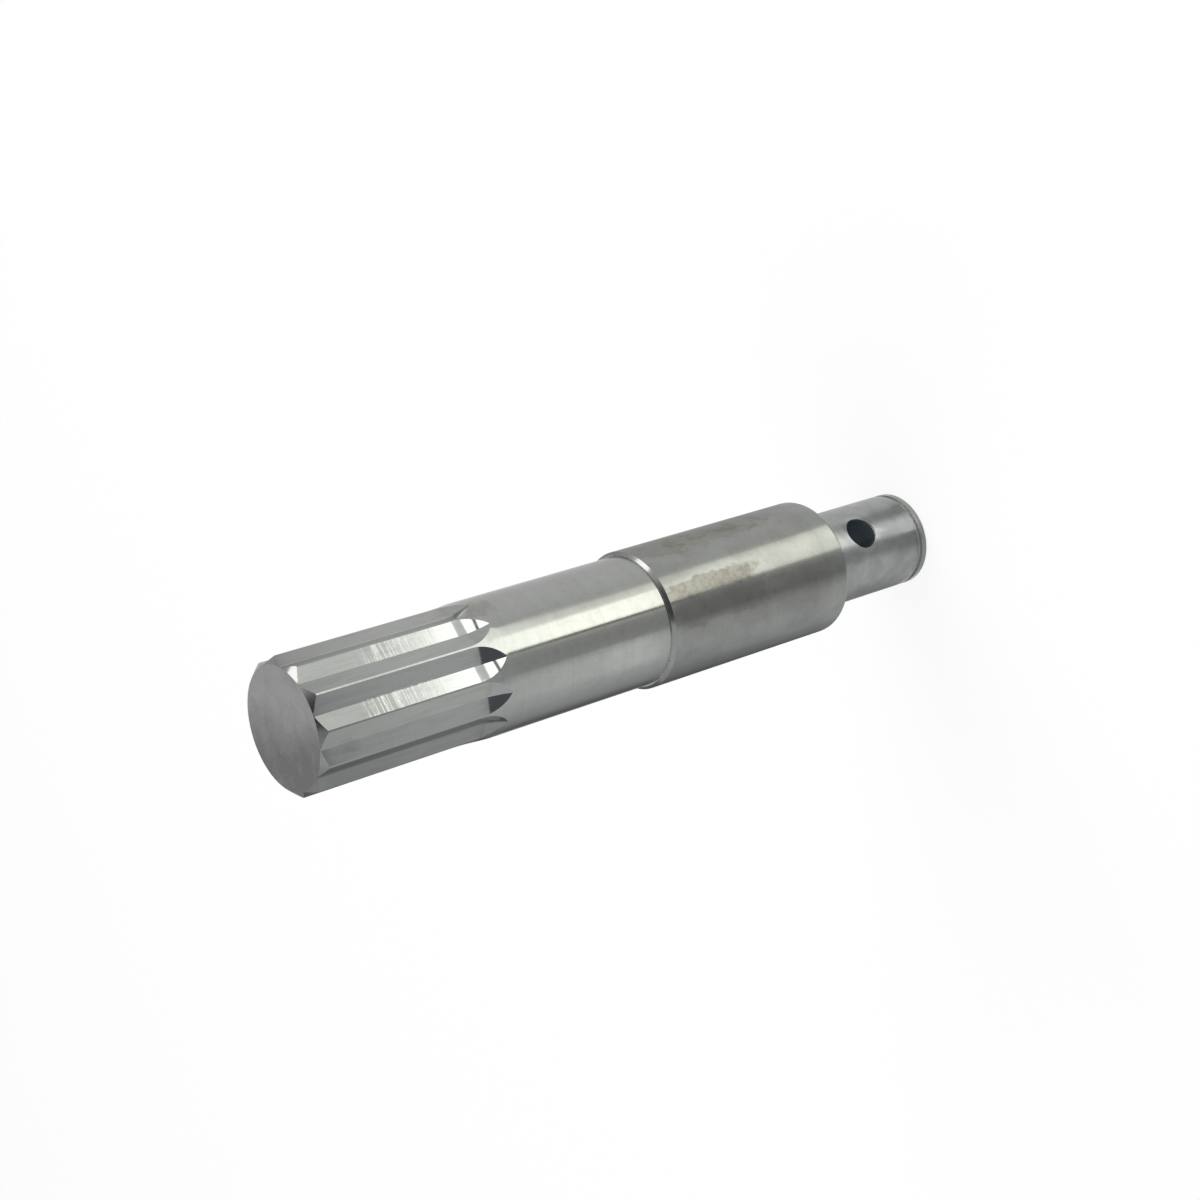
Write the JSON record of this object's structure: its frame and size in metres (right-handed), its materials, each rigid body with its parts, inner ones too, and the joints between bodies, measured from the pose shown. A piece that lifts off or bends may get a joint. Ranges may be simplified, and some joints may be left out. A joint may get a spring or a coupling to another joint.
{
  "type": "stepped shaft with a twelve-point end",
  "caption": "Stepped steel shaft: twelve-point milled end, ground journal, collar, and a neck with a cross hole and a ring groove.",
  "frame": {"origin": "centre of the foot, which is the flat end of the neck, on the shaft's axis", "axes": "+Z along the shaft's axis, from the foot to the twelve-point end; Y along the cross hole, whose mouth at -Y faces the picture's camera"},
  "size_m": [0.032, 0.032, 0.1785],
  "materials": {
    "steel": "turned, milled and ground, bare"
  },
  "bodies": {
    "root": {"shaft": "steel"}
  },
  "joints": []
}
